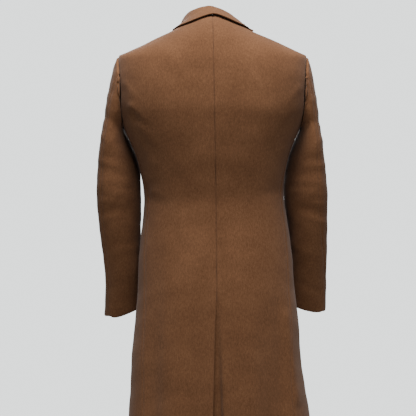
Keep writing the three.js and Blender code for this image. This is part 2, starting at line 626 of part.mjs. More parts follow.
// along runs from 0 at the armhole over 1 at the first level section to 2 at the cuff.
function sleevePoint(side, rows, table, round, along) {
  const top = rows[0].z;
  const cuff = rows[rows.length - 1].z;
  if (along > 1) {
    return sleeveSection(side, table, round, blend(top, cuff, along - 1));
  }
  const { angle, z } = armholePlace(round);
  const start = bodyPoint(side, angle, z);
  start.x += side * SEAM_GAP;
  const end = sleeveSection(side, table, round, top);
  const upness = Math.sin(round);
  const fall = start.z - end.z;
  const { out, outAbove, back, sink, sinkBelow, arriveOut, arriveAbove, arriveFall } = SLEEVE_HEAD;
  const leaveOut = side * (out + outAbove * upness);
  const leave = new THREE.Vector3(leaveOut, back * Math.cos(round), -fall * sinkBelow * (1 - upness) - sink);
  const arrive = new THREE.Vector3(-side * (arriveOut + arriveAbove * upness), 0, fall * arriveFall);
  const first = start.clone().add(leave);
  const second = end.clone().add(arrive);
  const rest = 1 - along;
  return start.multiplyScalar(rest ** 3)
    .addScaledVector(first, 3 * rest * rest * along)
    .addScaledVector(second, 3 * rest * along * along)
    .addScaledVector(end, along ** 3);
}

function creaseHeight(point, round) {
  let total = 0;
  for (const crease of SLEEVE_CREASES) {
    const apart = THREE.MathUtils.radToDeg(round) - crease.angle;
    const turn = THREE.MathUtils.euclideanModulo(apart + 180, 360) - 180;
    const away = (point.z - crease.z - crease.slant * turn) / crease.width;
    total += crease.height * Math.exp(-away * away - (turn / crease.reach) ** 2);
  }
  return total;
}

const SLEEVE_ROWS = { head: 8, headSpread: 1.15, arm: 16 };
const SLEEVE_COLUMNS = { upper: 13, under: 11 };
const SLEEVE_SEAM_TURN = 0.0078;
const SLEEVE_TOP = -110;
const CREASE_FADE = { head: 2.5, cuff: 5 };

// Beside the cuff slit the under sleeve stands off, and the upper sleeve laps in beneath its edge.
const CUFF_MOVE = { upper: -0.6, under: 5.4, start: 0.8 };
const CUFF_LAP = { turn: degrees(8), start: 0.6 };

function sleeveHalf(name, side, rows, upper) {
  const table = sleeveTables(rows);
  const top = rows[0].z;
  const cuff = rows[rows.length - 1].z;
  const seam = side > 0 ? hindarmAngle.left : hindarmAngle.right;
  const surface = (round, along) => {
    const point = sleevePoint(side, rows, table, round, along);
    const plain = (atRound, atAlong) => sleevePoint(side, rows, table, atRound, atAlong);
    const fade = smoothStep(along * CREASE_FADE.head) * smoothStep((2 - along) * CREASE_FADE.cuff);
    const normal = normalOf(plain, round, along, 0.02, 0.01).multiplyScalar(side);
    return point.addScaledVector(normal, fade * creaseHeight(point, round));
  };
  const alongs = [
    ...steps(SLEEVE_ROWS.head).slice(0, -1).map((part) => part ** SLEEVE_ROWS.headSpread),
    ...steps(SLEEVE_ROWS.arm).map((part) => 1 + part),
  ];
  const corners = [];
  const grid = alongs.map((along) => {
    const level = along < 1 ? blend(SLEEVE_TOP, top, along) : blend(top, cuff, along - 1);
    const slit = smoothStep((cuff + CUFF_SLIT - level) / CUFF_SLIT);
    const lap = CUFF_LAP.turn * smoothStep((slit - CUFF_LAP.start) / (1 - CUFF_LAP.start));
    const hind = degrees(seam(level));
    const fore = degrees(FOREARM_SEAM);
    const from = (upper ? hind - lap : fore) + SLEEVE_SEAM_TURN;
    const to = (upper ? fore + 2 * Math.PI : hind) - SLEEVE_SEAM_TURN;
    return steps(upper ? SLEEVE_COLUMNS.upper : SLEEVE_COLUMNS.under).map((part) => {
      const round = blend(from, to, part);
      const normal = normalOf(surface, round, along, 0.02, 0.01).multiplyScalar(side);
      const nearSlit = upper ? 1 - part : part;
      const open = slit * smoothStep((nearSlit - CUFF_MOVE.start) / (1 - CUFF_MOVE.start));
      const move = open * (upper ? CUFF_MOVE.upper : CUFF_MOVE.under);
      const outer = surface(round, along).addScaledVector(normal, move);
      corners.push({ outer, inner: outer.clone().addScaledVector(normal, -WALL) });
      return corners.length - 1;
    });
  });
  return clothWall(name, corners, gridQuads(grid, side > 0), WOOL);
}

// The collar is one folded strip: up from the neck seam, over the fold and down to its outer edge.
const COLLAR_SECTIONS = 20;
const STAND_STEPS = 2;
const FALL_STEPS = 5;
const COLLAR_REST = 1.4;
const COLLAR_SEAM = { off: 1.5, offFront: 5, start: 0.7, run: 0.15 };
const COLLAR_BEND = { stand: 0.86, turnIn: 0.3, turnUp: 2, start: 0.16, startUp: 1.4, share: 0.3 };
const COLLAR_FALL = { middle: 0.55, softUp: 0.5, bend: 0.6 };

// Height of the neck seam at an angle round the neck.
function neckSeamZ(side, angle) {
  if (angle <= RIGHT_ANGLE) {
    return BACK_NECK_HEIGHT * (1 - (angle / RIGHT_ANGLE) ** (ROW_DROOP / COLUMN_SPREAD));
  }
  const rollTop = frontAngle(side, side * ROLL_TOP.x, ROLL_TOP.z);
  if (angle <= rollTop) {
    return (ROLL_TOP.z * (angle - RIGHT_ANGLE)) / (rollTop - RIGHT_ANGLE);
  }
  let part = 1;
  while (rollPlace(side, part).angle < angle) {
    part -= 0.002;
  }
  return rollPlace(side, part).z;
}

// Lifts a point of the collar's fall so that it stays over the body.
function clearOfBody(side, point, lift) {
  const turn = Math.PI - frontAngle(side, Math.abs(point.x) * side, point.z);
  const angle = point.y > 0 ? turn : Math.PI - turn;
  const normal = bodyNormal(side, angle, point.z);
  const seat = bodyPoint(side, angle, point.z);
  const off = point.clone().sub(seat).dot(normal);
  return off < lift ? seat.addScaledVector(normal, lift) : point;
}

function collarSection(side, read, at) {
  const place = (angle, z, lift) => {
    const normal = bodyNormal(side, degrees(angle), z);
    return bodyPoint(side, degrees(angle), z).addScaledVector(normal, lift);
  };
  const seamAngle = read.seamAngle(at);
  const seam = place(seamAngle, neckSeamZ(side, degrees(seamAngle)), 0);
  const inward = new THREE.Vector3(-seam.x, -seam.y, 0).normalize();
  const towardsFront = smoothStep((at - COLLAR_SEAM.start) / COLLAR_SEAM.run);
  seam.addScaledVector(inward, SEAM_GAP * (COLLAR_SEAM.off + COLLAR_SEAM.offFront * towardsFront));
  seam.z += SEAM_GAP;
  const fold = seam.clone().addScaledVector(inward, read.foldIn(at));
  fold.z += read.foldUp(at);
  const edge = place(read.edgeAngle(at), read.edgeZ(at), read.lift(at));
  const notchAngle = frontAngle(side, side * GORGE.notchX, GORGE.notchZ + 1);
  const notch = place(THREE.MathUtils.radToDeg(notchAngle), GORGE.notchZ + 1, read.lift(at));
  const middle = fold.clone().lerp(edge, COLLAR_FALL.middle).addScaledVector(inward, -read.soft(at));
  middle.z += read.soft(at) * COLLAR_FALL.softUp;
  middle.lerp(notch, clamp(read.notch(at), 0, 1));
  const points = [];
  for (const part of steps(STAND_STEPS)) {
    points.push(seam.clone().lerp(fold, part * COLLAR_BEND.stand));
  }
  const mostUp = read.foldUp(at) * COLLAR_BEND.share;
  const turnOver = fold.clone().addScaledVector(inward, COLLAR_BEND.turnIn);
  turnOver.z += Math.min(COLLAR_BEND.turnUp, mostUp);
  points.push(turnOver);
  const comingDown = fold.clone().lerp(middle, COLLAR_BEND.start);
  comingDown.z += Math.min(COLLAR_BEND.startUp, mostUp);
  points.push(comingDown);
  for (const part of steps(FALL_STEPS).slice(1)) {
    const past = part - COLLAR_FALL.bend;
    const bend = past < 0 ? comingDown.clone().lerp(middle, part / COLLAR_FALL.bend)
      : middle.clone().lerp(edge, past / (1 - COLLAR_FALL.bend));
    points.push(bend);
  }
  const shifting = 1 - at * at;
  const droop = side < 0 ? 2 * COLLAR_RIGHT_DROOP * at * shifting : 0;
  return points.map((point, index) => {
    const onFall = Math.max(index - STAND_STEPS - 2, 0) / FALL_STEPS;
    const offSeam = Math.min(index / STAND_STEPS, 1);
    const high = offSeam * (1 - onFall);
    point.x += shifting * (COLLAR_TOP_SHIFT * high + COLLAR_EDGE_SHIFT * onFall);
    point.z -= droop * offSeam * blend(1, COLLAR_EDGE_DROOP, onFall);
    return index > STAND_STEPS + 1 ? clearOfBody(side, point, COLLAR_REST + onFall) : point;
  });
}

function collar() {
  const [, beside] = COLLAR;
  const acrossMiddle = { ...beside };
  for (const mirrored of ["at", "seamAngle", "edgeAngle"]) {
    acrossMiddle[mirrored] = -beside[mirrored];
  }
  const read = { notch: smoothThrough(COLLAR_NOTCH, "at", "notch") };
  for (const column of Object.keys(COLLAR[0])) {
    read[column] = smoothThrough([acrossMiddle, ...COLLAR], "at", column);
  }
  const ats = steps(COLLAR_SECTIONS * 2).map((part) => part * 2 - 1);
  const sections = ats.map((at) => collarSection(at < 0 ? RIGHT : LEFT, read, Math.abs(at)));
  const normalAt = (row, column) => {
    const pick = (r, c) => sections[clamp(r, 0, sections.length - 1)][clamp(c, 0, sections[0].length - 1)];
    const along = pick(row + 1, column).clone().sub(pick(row - 1, column));
    const across = pick(row, column + 1).clone().sub(pick(row, column - 1));
    return along.cross(across).normalize();
  };
  const corners = [];
  const grid = sections.map((section, row) => section.map((point, column) => {
    corners.push({ inner: point, outer: point.clone().addScaledVector(normalAt(row, column), WALL) });
    return corners.length - 1;
  }));
  return clothWall("collar", corners, gridQuads(grid, false), WOOL);
}

// Round horn buttons with a raised rim and four holes.
const wasm = await Module();
wasm.setup();

function toSolid(geometry) {
  const source = geometry.toNonIndexed().getAttribute("position");
  const known = new Map();
  const vertices = [];
  const indices = [];
  for (let index = 0; index < source.count; index += 1) {
    const point = [source.getX(index), source.getY(index), source.getZ(index)];
    const key = point.map((value) => Math.round(value * 1e4)).join(" ");
    if (!known.has(key)) {
      known.set(key, known.size);
      vertices.push(...point);
    }
    indices.push(known.get(key));
  }
  const kept = [];
  for (let index = 0; index < indices.length; index += 3) {
    const [a, b, c] = indices.slice(index, index + 3);
    if (a !== b && b !== c && a !== c) {
      kept.push(a, b, c);
    }
  }
  return new wasm.Manifold(new wasm.Mesh({
    numProp: 3, vertProperties: new Float32Array(vertices), triVerts: new Uint32Array(kept),
  }));
}

function buttonGeometry() {
  const { radius, thickness, rim, dish } = BUTTON;
  const profile = [
    [0, 0], [radius - 1.4, 0], [radius, 1.2], [radius, thickness - 1], [radius - 0.8, thickness],
    [radius - rim, thickness], [radius - rim - 1, thickness - dish], [0, thickness - dish],
  ].map(([across, up]) => new THREE.Vector2(across, up));
  let solid = toSolid(new THREE.LatheGeometry(profile, 20));
  for (const [x, z] of [[1, 1], [1, -1], [-1, 1], [-1, -1]]) {
    const drill = new THREE.CylinderGeometry(BUTTON.holeRadius, BUTTON.holeRadius, thickness * 3, 6);
    drill.translate((x * BUTTON.holeSpacing) / Math.SQRT2, 0, (z * BUTTON.holeSpacing) / Math.SQRT2);
    solid = solid.subtract(toSolid(drill));
  }
  const { vertProperties, triVerts } = solid.getMesh();
  const geometry = new THREE.BufferGeometry();
  geometry.setAttribute("position", new THREE.BufferAttribute(vertProperties, 3));
  geometry.setIndex(new THREE.BufferAttribute(triVerts, 1));
  return geometry.toNonIndexed();
}

function frontButton({ name, z }) {
  const geometry = buttonGeometry();
  const normal = bodyNormal(LEFT, Math.PI, z);
  const seat = foldedBody(LEFT, Math.PI, z).addScaledVector(normal, SEAM_GAP);
  const turn = new THREE.Quaternion().setFromUnitVectors(new THREE.Vector3(0, 1, 0), normal);
  geometry.applyQuaternion(turn);
  geometry.translate(seat.x, seat.y, seat.z);
  geometry.computeVertexNormals();
  const mesh = new THREE.Mesh(geometry, new THREE.MeshStandardMaterial(HORN));
  mesh.name = name;
  return mesh;
}

const coat = new THREE.Group();
coat.name = "wool_overcoat";
coat.add(
  backPanel("back_left", LEFT),
  backPanel("back_right", RIGHT),
  frontPanel("front_left", LEFT),
  frontPanel("front_right", RIGHT),
  lapel("lapel_left", LEFT, LAPELS.left),
  lapel("lapel_right", RIGHT, LAPELS.right),
  sleeveHalf("upper_sleeve_left", LEFT, SLEEVES.left, true),
  sleeveHalf("under_sleeve_left", LEFT, SLEEVES.left, false),
  sleeveHalf("upper_sleeve_right", RIGHT, SLEEVES.right, true),
  sleeveHalf("under_sleeve_right", RIGHT, SLEEVES.right, false),
  collar(),
  ...BUTTONS.map(frontButton),
);

export default coat;
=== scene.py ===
# %% [markdown]
# # A long wool overcoat
# The coat is filled out upright, with nobody in it. Every piece of cloth has been cut, and its
# solid is already in the frame that this lesson loads, so a piece never has to be fitted: its
# solid says where it is. The lesson turns each coarse wall of cloth into soft, napped wool.

# %% Load the frame
import math

import bmesh
import bpy
import numpy as np
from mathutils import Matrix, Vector


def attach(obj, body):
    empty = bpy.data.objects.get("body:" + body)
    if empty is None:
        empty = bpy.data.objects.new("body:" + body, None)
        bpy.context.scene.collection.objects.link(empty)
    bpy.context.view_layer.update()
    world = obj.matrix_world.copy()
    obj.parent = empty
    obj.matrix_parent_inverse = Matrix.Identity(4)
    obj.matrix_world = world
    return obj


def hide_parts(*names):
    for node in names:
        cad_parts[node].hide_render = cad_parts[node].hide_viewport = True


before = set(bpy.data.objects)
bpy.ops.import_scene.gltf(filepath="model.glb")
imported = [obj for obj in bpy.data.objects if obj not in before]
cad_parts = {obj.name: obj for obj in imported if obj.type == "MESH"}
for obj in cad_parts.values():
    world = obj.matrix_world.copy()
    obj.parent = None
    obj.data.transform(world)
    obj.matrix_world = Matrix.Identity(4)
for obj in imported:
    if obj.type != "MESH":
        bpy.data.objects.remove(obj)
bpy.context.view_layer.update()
print("pieces in the frame:", len(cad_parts))

# %% [markdown]
# ## The camera
# A coat is photographed from far away with a long lens, so that its sleeves and hem keep their
# proportions. Here the camera stands two and a half metres straight behind the coat, level with
# its middle. One picture width covers a little over a metre at the coat.

# %% Place the camera
CAMERA_PLACE = (0.011, 2.55, -0.4434)
PICTURE_WIDTH = 1.0192
SENSOR_WIDTH = 36.0


def add_camera():
    data = bpy.data.cameras.new("studio_camera")
    data.sensor_width = SENSOR_WIDTH
    data.lens = SENSOR_WIDTH * CAMERA_PLACE[1] / PICTURE_WIDTH
    camera = bpy.data.objects.new("studio_camera", data)
    camera.location = CAMERA_PLACE
    camera.rotation_euler = (math.pi / 2, 0, math.pi)
    bpy.context.scene.collection.objects.link(camera)
    bpy.context.scene.camera = camera
    return camera


print("lens in millimetres:", round(add_camera().data.lens, 1))

# %% [markdown]
# ## Nodes written as sums
# A finish is made from nodes. Sums between nodes read best as Python sums, so one small class
# wraps an output and turns `1 - mask` into a Math node. All other nodes come from one method.

# %% A wire that can be added and multiplied
class Wire:
    """One output of a node."""

    def __init__(self, finish, socket):
        self.finish = finish
        self.socket = socket

    def combine(self, operation, first, second):
        return self.finish.node("ShaderNodeMath", {"operation": operation}, [first, second])

    def __add__(self, other):
        return self.combine("ADD", self, other)

    def __sub__(self, other):
        return self.combine("SUBTRACT", self, other)

    def __mul__(self, other):
        return self.combine("MULTIPLY", self, other)

    def __radd__(self, other):
        return self.combine("ADD", other, self)

    def __rsub__(self, other):
        return self.combine("SUBTRACT", other, self)

    def __rmul__(self, other):
        return self.combine("MULTIPLY", other, self)


class Finish:
    """A material whose nodes are added one at a time."""

    def __init__(self, name, **constants):
        self.material = bpy.data.materials.new(name)
        self.material.use_nodes = True
        self.tree = self.material.node_tree
        self.shader = self.tree.nodes["Principled BSDF"]
        for label, value in constants.items():
            self.shader.inputs[label.replace("_", " ")].default_value = value

    def feed(self, socket, value):
        if isinstance(value, Wire):
            self.tree.links.new(value.socket, socket)
        elif value is not None:
            socket.default_value = value

    def node(self, kind, settings=None, values=(), output=0):
        made = self.tree.nodes.new(kind)
        for label, value in (settings or {}).items():
            if label == "stops":
                self.set_stops(made.color_ramp, value)
            else:
                setattr(made, label, value)
        pairs = values.items() if isinstance(values, dict) else enumerate(values)
        for key, value in pairs:
            self.feed(made.inputs[key], value)
        return Wire(self, made.outputs[output])

    def set_stops(self, ramp, stops):
        while len(ramp.elements) < len(stops):
            ramp.elements.new(1.0)
        for element, (place, colour) in zip(ramp.elements, stops):
            element.position = place
            element.color = (*colour, 1.0)

    def drive(self, label, wire):
        self.tree.links.new(wire.socket, self.shader.inputs[label])

    def place(self, scale=(1, 1, 1)):
        coordinates = self.node("ShaderNodeTexCoord", output="Object")
        return self.node("ShaderNodeMapping", None, {"Vector": coordinates, "Scale": scale})

    def noise(self, where, scale, detail=2.0, roughness=0.5):
        return self.node("ShaderNodeTexNoise", None,
                         {"Vector": where, "Scale": scale, "Detail": detail,
                          "Roughness": roughness})


print("helpers for finishes are ready")

# %% [markdown]
# ## Napped wool
# Heavy coating wool is woven, milled until the weave closes, and brushed, so what shows is a short
# nap that lies downwards. Its yarns were dyed in slightly different browns before they were spun,
# which gives a quiet mottle. A flat brown would look like plastic, so three sizes of noise are
# mixed: single fibres, small tufts and wide, soft clouds. The fibre noise is drawn out along the
# height because the nap is brushed down. A little sheen softens the turned edges.

# %% Make the wool
WOOL_STOPS = [
    (0.3, (0.072, 0.03, 0.0125)),
    (0.5, (0.124, 0.055, 0.025)),
    (0.72, (0.19, 0.091, 0.044)),
]
FIBRES_PER_METRE = 1150.0
TUFTS_PER_METRE = 330.0
CLOUDS_PER_METRE = 13.0
BRUSHED_SCALE = (1.0, 1.0, 0.45)
FIBRE_SHARE = 0.42
TUFT_SHARE = 0.4
CLOUD_SHARE = 0.18
LEAST_ROUGH = 0.84
TUFT_ROUGH = 0.14
NAP_HEIGHT = 0.0009
NAP_STRENGTH = 0.4


def make_wool(name):
    wool = Finish(name, Sheen_Weight=0.06, Sheen_Roughness=0.5, Specular_IOR_Level=0.1)
    where = wool.place()
    brushed = wool.place(scale=BRUSHED_SCALE)
    fibres = wool.noise(brushed, FIBRES_PER_METRE, 3.0, 0.62)
    tufts = wool.noise(brushed, TUFTS_PER_METRE, 3.0, 0.6)
    clouds = wool.noise(where, CLOUDS_PER_METRE, 2.0, 0.55)
    mottle = fibres * FIBRE_SHARE + tufts * TUFT_SHARE + clouds * CLOUD_SHARE
    wool.drive("Base Color", wool.node("ShaderNodeValToRGB", {"stops": WOOL_STOPS}, [mottle]))
    nap = fibres * 0.5 + tufts * 0.5
    wool.drive("Normal", wool.node("ShaderNodeBump", None,
                                   {"Strength": NAP_STRENGTH, "Distance": NAP_HEIGHT,
                                    "Height": nap}))
    wool.drive("Roughness", LEAST_ROUGH + tufts * TUFT_ROUGH)
    return wool.material


wool_finish = make_wool("napped_wool")
print("finish:", wool_finish.name)

# %% [markdown]
# ## From a coarse wall to soft cloth
# Each solid is a closed wall of cloth with an outer skin, an inner skin and a narrow rim. Cloth is
# easier to shape as one skin, so the wall is copied, cut apart along its sharp rim, and only the
# outer skin is kept. Where a piece folds as sharply as its rim, as the collar does, the part
# beyond the fold is joined on again. The skin is then subdivided, creased, and given its
# thickness back at the end. Working on the copy of the solid, and not on a new drawing, keeps
# each seam where it was cut.

# %% Select one object and nothing else
def only(piece):
    for other in bpy.context.selected_objects:
        other.select_set(False)
    piece.hide_set(False)
    piece.select_set(True)
    bpy.context.view_layer.objects.active = piece


def in_edit_mode(piece, *moves):
    only(piece)
    bpy.ops.object.mode_set(mode="EDIT")
    for operator, settings in moves:
        operator(**settings)
    bpy.ops.object.mode_set(mode="OBJECT")


# %% Cut the outer skin off a wall
RIM_ANGLE = math.radians(66)
FLAT_QUAD_ANGLE = math.radians(60)
MERGE_DISTANCE = 0.00002
PLACE_DIGITS = 5
FOLDED_PART_AREA = 0.004
CORNERS_SHARED = 3


def skin_area(piece):
    return sum(face.area for face in piece.data.polygons)


def corner_places(piece):
    """Places of all points of a piece, rounded so that shared points compare as equal."""
    return {tuple(round(part, PLACE_DIGITS) for part in vertex.co)
            for vertex in piece.data.vertices}


def join_beside(kept, parts):
    """Join the wide parts that share an edge with the kept one, and return the other parts."""
    places = corner_places(kept)
    beyond = [part for part in parts if skin_area(part) > FOLDED_PART_AREA
              and len(places & corner_places(part)) >= CORNERS_SHARED]
    others = [part for part in parts if part not in beyond]
    only(kept)
    for part in beyond:
        part.select_set(True)
    print("parts joined over a fold:", len(beyond))
    bpy.ops.object.join()
    in_edit_mode(kept, (bpy.ops.mesh.select_all, {"action": "SELECT"}),
                 (bpy.ops.mesh.remove_doubles, {"threshold": MERGE_DISTANCE}))
    return others


def outer_skin(node, name, folded=False):
    """The outer skin of one solid, as a piece of its own with larger, four-sided faces."""
    source = bpy.data.objects[node]
    piece = source.copy()
    piece.data = source.data.copy()
    piece.name = name
    bpy.context.scene.collection.objects.link(piece)
    mesh = bpy.ops.mesh
    in_edit_mode(
        piece,
        (mesh.select_all, {"action": "SELECT"}),
        (mesh.remove_doubles, {"threshold": MERGE_DISTANCE}),
        (mesh.select_all, {"action": "DESELECT"}),
        (mesh.select_mode, {"type": "EDGE"}),
        (mesh.edges_select_sharp, {"sharpness": RIM_ANGLE}),
        (mesh.edge_split, {"type": "EDGE"}),
        (mesh.select_all, {"action": "SELECT"}),
        (mesh.separate, {"type": "LOOSE"}),
    )
    parts = list(bpy.context.selected_objects)
    parts.sort(key=skin_area)
    kept = parts.pop()
    if folded:
        parts = join_beside(kept, parts)
    for part in parts:
        bpy.data.objects.remove(part)
    kept.name = name
    in_edit_mode(
        kept,
        (mesh.select_all, {"action": "SELECT"}),
        (mesh.tris_convert_to_quads, {"face_threshold": FLAT_QUAD_ANGLE,
                                      "shape_threshold": FLAT_QUAD_ANGLE}),
    )
    return kept


# %% [markdown]
# ## Pressed edges
# At a seam both edges of cloth turn inside and are pressed open, which leaves a fine valley with
# a soft ridge on either side. At a hem or front edge the cloth turns back and rolls off roundly.
# Two narrow rings of faces along each edge carry this form. The outermost points also reach a
# little over half a seam gap outwards, so that two neighbouring pieces meet and no light falls
# through the seam. At the centre back the right edge lies deeper than the left one, which leaves
# the thin dark line of a seam pressed to one side. The collar and lapels take no rings: they are
# rolled over their edges and pressed flat.

# %% Ring the edges and press them
EDGE_RINGS = (0.0013, 0.0046)
VALLEY_DEPTH = 0.0019
RING_DEPTH = 0.0002
RIDGE_HEIGHT = 0.0006
SEAM_REACH = 0.0004


def add_edge_rings(piece, rings):
    mesh = bpy.ops.mesh
    moves = [(mesh.select_mode, {"type": "FACE"}), (mesh.select_all, {"action": "SELECT"})]
    moves += [(mesh.inset, {"thickness": width, "use_boundary": True}) for width in rings]
    in_edit_mode(piece, *moves)


def outward_at_edges(shape):
    """Direction in the cloth, square to the edge and away from it, for each point of an edge."""
    outward = {}
    for edge in shape.edges:
        if not edge.is_boundary:
            continue
        face = edge.link_faces[0]
        first, second = edge.verts
        along = (second.co - first.co).normalized()
        away = (first.co + second.co) / 2 - face.calc_center_median()
        away -= along * away.dot(along)
        for vertex in edge.verts:
            outward[vertex] = outward.get(vertex, Vector()) + away.normalized()
    return {vertex: way.normalized() for vertex, way in outward.items()}


def press_edges(piece, valley):
    """Sink the edges by the valley's depth, raise a ridge beside them and reach outwards."""
    shape = bmesh.new()
    shape.from_mesh(piece.data)
    shape.normal_update()
    outward = outward_at_edges(shape)
    heights = {vertex: -valley for vertex in outward}
    ring = set(outward)
    for height in (-RING_DEPTH, RIDGE_HEIGHT):
        ring = {edge.other_vert(vertex) for vertex in ring for edge in vertex.link_edges}
        ring = {vertex for vertex in ring if vertex not in heights}
        heights.update((vertex, height) for vertex in ring)
    moves = {vertex: vertex.normal * height for vertex, height in heights.items()}
    for vertex, way in outward.items():
        moves[vertex] += way * SEAM_REACH
    for vertex, move in moves.items():
        vertex.co += move
    shape.to_mesh(piece.data)
    shape.free()


# %% Finish a skin as cloth
CLOTH_THICKNESS = 0.0025
EDGE_ROUND = 0.0006
SMOOTH_ANGLE = math.radians(50)


def apply_modifier(piece, kind, **settings):
    modifier = piece.modifiers.new(kind.lower(), kind)
    for label, value in settings.items():
        setattr(modifier, label, value)
    only(piece)
    bpy.ops.object.modifier_apply(modifier=modifier.name)


def subdivide(piece, levels):
    apply_modifier(piece, "SUBSURF", levels=levels, render_levels=levels,
                   boundary_smooth="PRESERVE_CORNERS")


def thicken(piece):
    apply_modifier(piece, "SOLIDIFY", thickness=CLOTH_THICKNESS, offset=-1.0)
    apply_modifier(piece, "BEVEL", width=EDGE_ROUND, segments=2, limit_method="ANGLE",
                   angle_limit=RIM_ANGLE)
    only(piece)
    bpy.ops.object.shade_smooth_by_angle(angle=SMOOTH_ANGLE)


# %% [markdown]
# ## Creases
# Wool this heavy does not crease sharply: it rolls into long, shallow troughs where the arm pulls
# or the skirt swings. Each crease is a line on the cloth with a half width and a height. The cloth
# is pushed outwards or inwards along it, and the push fades with the distance from the line.

# %% Read and move all points of a piece
def read_points(piece):
    points = np.empty(len(piece.data.vertices) * 3)
    piece.data.vertices.foreach_get("co", points)
    return points.reshape(-1, 3)


def write_points(piece, points):
    piece.data.vertices.foreach_set("co", points.ravel())
    piece.data.update()


def read_normals(piece):
    normals = np.empty(len(piece.data.vertices) * 3)
    piece.data.vertices.foreach_get("normal", normals)
    return normals.reshape(-1, 3)


# %% Push the cloth along creases
MILLIMETRE = 0.001
FACING_FADE = 0.06


def crease(face, start, end, width, heights, middle=0):
    """A line on the cloth from start to end, seen from behind, with its height at either end.

    All sizes are millimetres. Middle is the place along Y where the back turns into the front.
    """
    return {"face": face, "start": start, "end": end, "width": width, "heights": heights,
            "middle": middle}


def crease_heights(points, creases):
    """Height of all creases at each point."""
    heights = np.zeros(len(points))
    for row in creases:
        start = np.array(row["start"]) * MILLIMETRE
        run = np.array(row["end"]) * MILLIMETRE - start
        flat = points[:, [0, 2]] - start
        part = np.clip(flat @ run / (run @ run), 0, 1)
        away = np.linalg.norm(flat - part[:, None] * run, axis=1)
        first, last = row["heights"]
        height = (first + (last - first) * part) * MILLIMETRE
        towards = 1 if row["face"] == "back" else -1
        behind = points[:, 1] - row["middle"] * MILLIMETRE
        facing = np.clip(0.5 + towards * behind / FACING_FADE, 0, 1)
        heights += facing * height * np.exp(-(away / (row["width"] * MILLIMETRE)) ** 2)
    return heights


def uneven(points, size, height):
    """Slow, shallow unevenness of hand-pressed cloth, the same on every run."""
    scaled = points * (2 * math.pi / size)
    waves = (np.sin(scaled[:, 2] + 1.7 * np.sin(0.6 * scaled[:, 0] + 0.4))
             * np.cos(0.9 * scaled[:, 0] + 1.3 * np.sin(0.5 * scaled[:, 2]))
             + 0.5 * np.sin(1.9 * scaled[:, 2] - 1.1 * scaled[:, 1] + 2.0))
    return height * waves


# %% [markdown]
# ## The panels of the body
# Two backs and two fronts make the tube of the coat. The backs meet in the centre-back seam and
# part at the vent. Drag lines run from under the arms, and the skirt hangs in wide, soft waves.

# %% Creases of the body
BODY_CREASES = [
    crease("back", (206, -150), (170, -204), 9, (2.0, 0)),
    crease("back", (192, -204), (150, -246), 8, (3.4, 0.6)),
    crease("back", (184, -226), (142, -266), 7, (-3.6, 0)),
    crease("back", (170, -250), (132, -287), 7, (3.2, 0)),
    crease("back", (160, -290), (122, -316), 7, (-3.2, 0)),
    crease("back", (152, -330), (118, -346), 8, (2.2, 0)),
    crease("back", (142, -402), (104, -412), 8, (2.6, 0)),
    crease("back", (150, -424), (96, -436), 9, (-2.4, 0)),
    crease("back", (-205, -160), (-166, -212), 9, (2.0, 0)),
    crease("back", (-196, -230), (-150, -268), 8, (-2.6, 0)),
    crease("back", (-180, -300), (-140, -322), 8, (2.2, 0)),
    crease("back", (-150, -404), (-98, -414), 9, (-2.2, 0)),
    crease("back", (-174, -700), (-200, -900), 10, (2.6, 3.4)),
    crease("back", (-150, -640), (-168, -1060), 13, (-1.2, -3.6)),
    crease("back", (-44, -560), (-52, -1060), 18, (0.6, 2.6)),
    crease("back", (52, -600), (60, -1060), 16, (-0.6, -2.4)),
    crease("back", (-11, -700), (-18, -1066), 7, (-1.2, -11.0)),
    crease("back", (106, -500), (118, -1060), 15, (0.8, 2.8)),
    crease("front", (196, -170), (150, -220), 9, (-2.4, 0)),
    crease("front", (182, -236), (138, -270), 8, (2.2, 0)),
    crease("front", (-196, -176), (-150, -224), 9, (-2.4, 0)),
    crease("front", (-180, -240), (-140, -268), 8, (2.0, 0)),
    crease("front", (134, -600), (146, -1060), 16, (0.6, 2.8)),
    crease("front", (-128, -620), (-142, -1060), 16, (-0.6, -2.8)),
    crease("front", (60, -700), (66, -1060), 14, (-0.4, -2.2)),
]

BODY_PIECES = [
    {"node": "back_left", "name": "wool_back_left", "flat": (0.245, 1.12), "area": 0.234,
     "valley": 0.0012},
    {"node": "back_right", "name": "wool_back_right", "flat": (0.3, 1.12), "area": 0.26,
     "valley": 0.0032},
    {"node": "front_left", "name": "wool_front_left", "flat": (0.42, 1.07), "area": 0.357},
    {"node": "front_right", "name": "wool_front_right", "flat": (0.44, 1.07), "area": 0.37},
]
BODY_LEVELS = 2
BODY_WAVE = 0.11
WAVE_HEIGHT = 0.0004


def shape_body(piece):
    points = read_points(piece)
    push = crease_heights(points, BODY_CREASES) + uneven(points, BODY_WAVE, WAVE_HEIGHT)
    write_points(piece, points + read_normals(piece) * push[:, None])


# %% Make one piece of cloth
def make_cloth(row, levels, shape):
    piece = outer_skin(row["node"], row["name"], row.get("folded", False))
    rings = row.get("rings", EDGE_RINGS)
    if rings:
        add_edge_rings(piece, rings)
        press_edges(piece, row.get("valley", VALLEY_DEPTH))
    subdivide(piece, levels)
    shape(piece)
    thicken(piece)
    piece.data.materials.clear()
    piece.data.materials.append(wool_finish)
    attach(piece, "root")
    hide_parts(row["node"])
    print(row["name"], "faces:", len(piece.data.polygons))
    return piece


# %% Make the backs and fronts
for body_row in BODY_PIECES:
    make_cloth(body_row, BODY_LEVELS, shape_body)

# %% [markdown]
# ## The sleeves
# A tailored sleeve has an upper and an under half. They are cut with a bend for the elbow, so the
# sleeve hangs forward. The bend crumples the cloth at the elbow's front and back.

